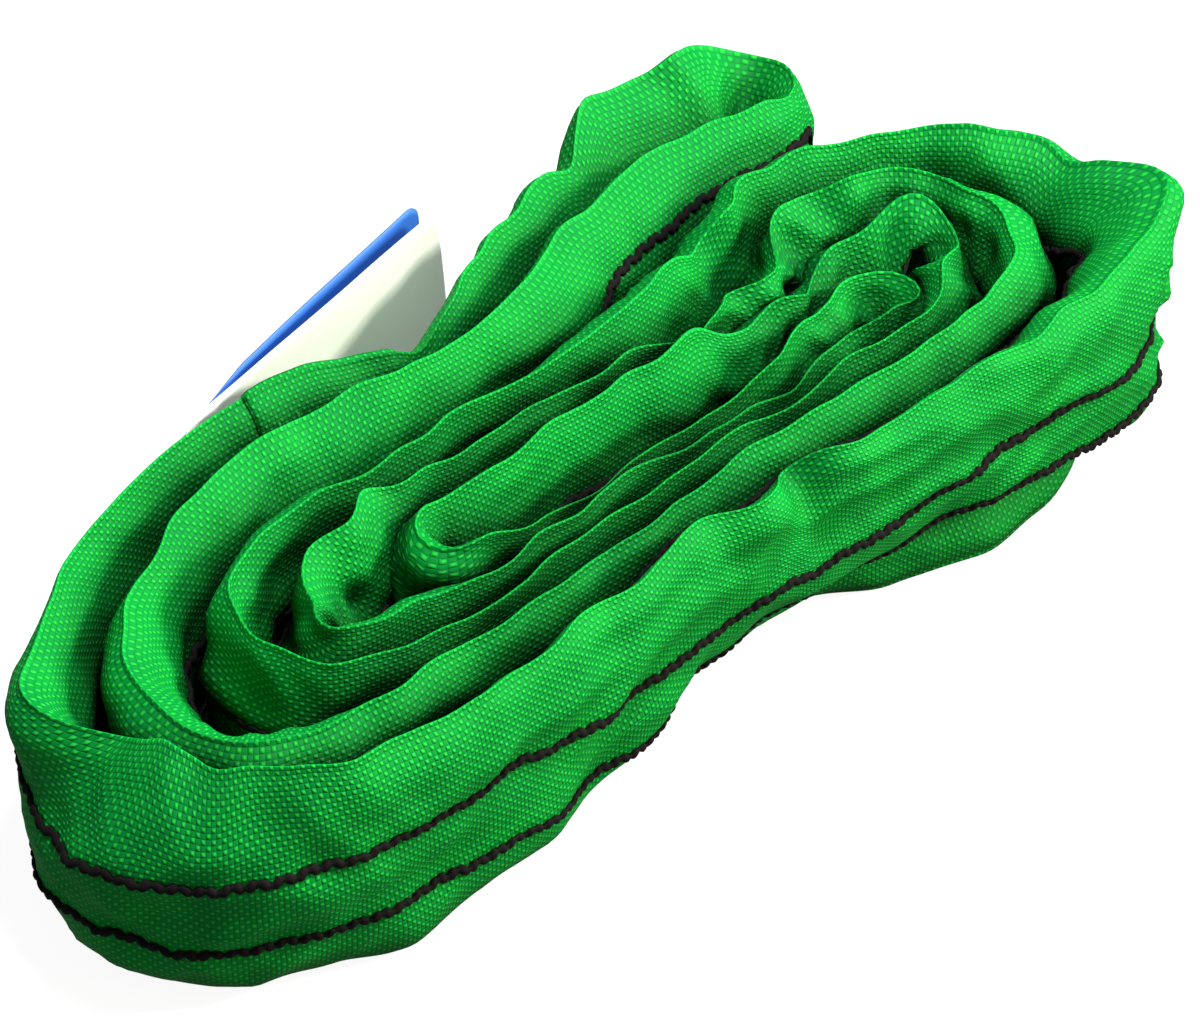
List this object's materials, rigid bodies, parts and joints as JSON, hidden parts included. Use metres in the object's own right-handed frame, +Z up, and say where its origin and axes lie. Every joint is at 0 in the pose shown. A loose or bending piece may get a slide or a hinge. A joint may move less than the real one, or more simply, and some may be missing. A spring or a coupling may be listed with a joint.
{
  "type": "round sling",
  "caption": "Soft endless lifting sling: a woven green sleeve over a yarn core, flattened to a double band and rolled up on edge, with label leaves at the back.",
  "frame": {"origin": "middle of the roll's bounding box, on the surface it stands on", "axes": "+Z up, across the flat sleeve's width; +X along the roll's long axis, towards the side where the free bight ends; +Y to the back, where the labels are"},
  "size_m": [0.2487, 0.1332, 0.0505],
  "materials": {
    "sleeve_green": "basket-woven polyester, slight sheen",
    "marker_black": "twisted polyester yarn",
    "core_yarn": "untwisted polyester filament yarn",
    "core_tape": "smooth adhesive tape",
    "thread": "sewing thread",
    "label_white": "satin coated label cloth",
    "label_blue": "satin coated label cloth"
  },
  "bodies": {
    "sling": {"sleeve": "sleeve_green", "sleeve_end_cuff": "sleeve_green", "core_yarn_hank": "core_yarn", "core_joint_tape": "core_tape", "marker_yarn_upper_outside": "marker_black", "marker_yarn_lower_outside": "marker_black", "marker_yarn_upper_inside": "marker_black", "marker_yarn_lower_inside": "marker_black", "cuff_stitches_outer_face": "thread", "cuff_stitches_inner_face": "thread", "white_label_sewn_edge": "label_white", "blue_label_sewn_edge": "label_blue", "label_stitches": "thread"},
    "white_label": {"white_label_leaf": "label_white"},
    "blue_label": {"blue_label_leaf": "label_blue"}
  },
  "joints": [
    {"name": "white_label_swing", "type": "hinge", "parent": "sling", "child": "white_label", "pos_m": [-0.07053, 0.02398, 0.025], "axis": [0, 0, 1], "range_deg": [-3, 60], "stiffness_Nm_per_rad": 0.0002},
    {"name": "blue_label_swing", "type": "hinge", "parent": "white_label", "child": "blue_label", "pos_m": [-0.07053, 0.02398, 0.025], "axis": [0, 0, 1], "range_deg": [-3, 40], "stiffness_Nm_per_rad": 0.0002}
  ]
}
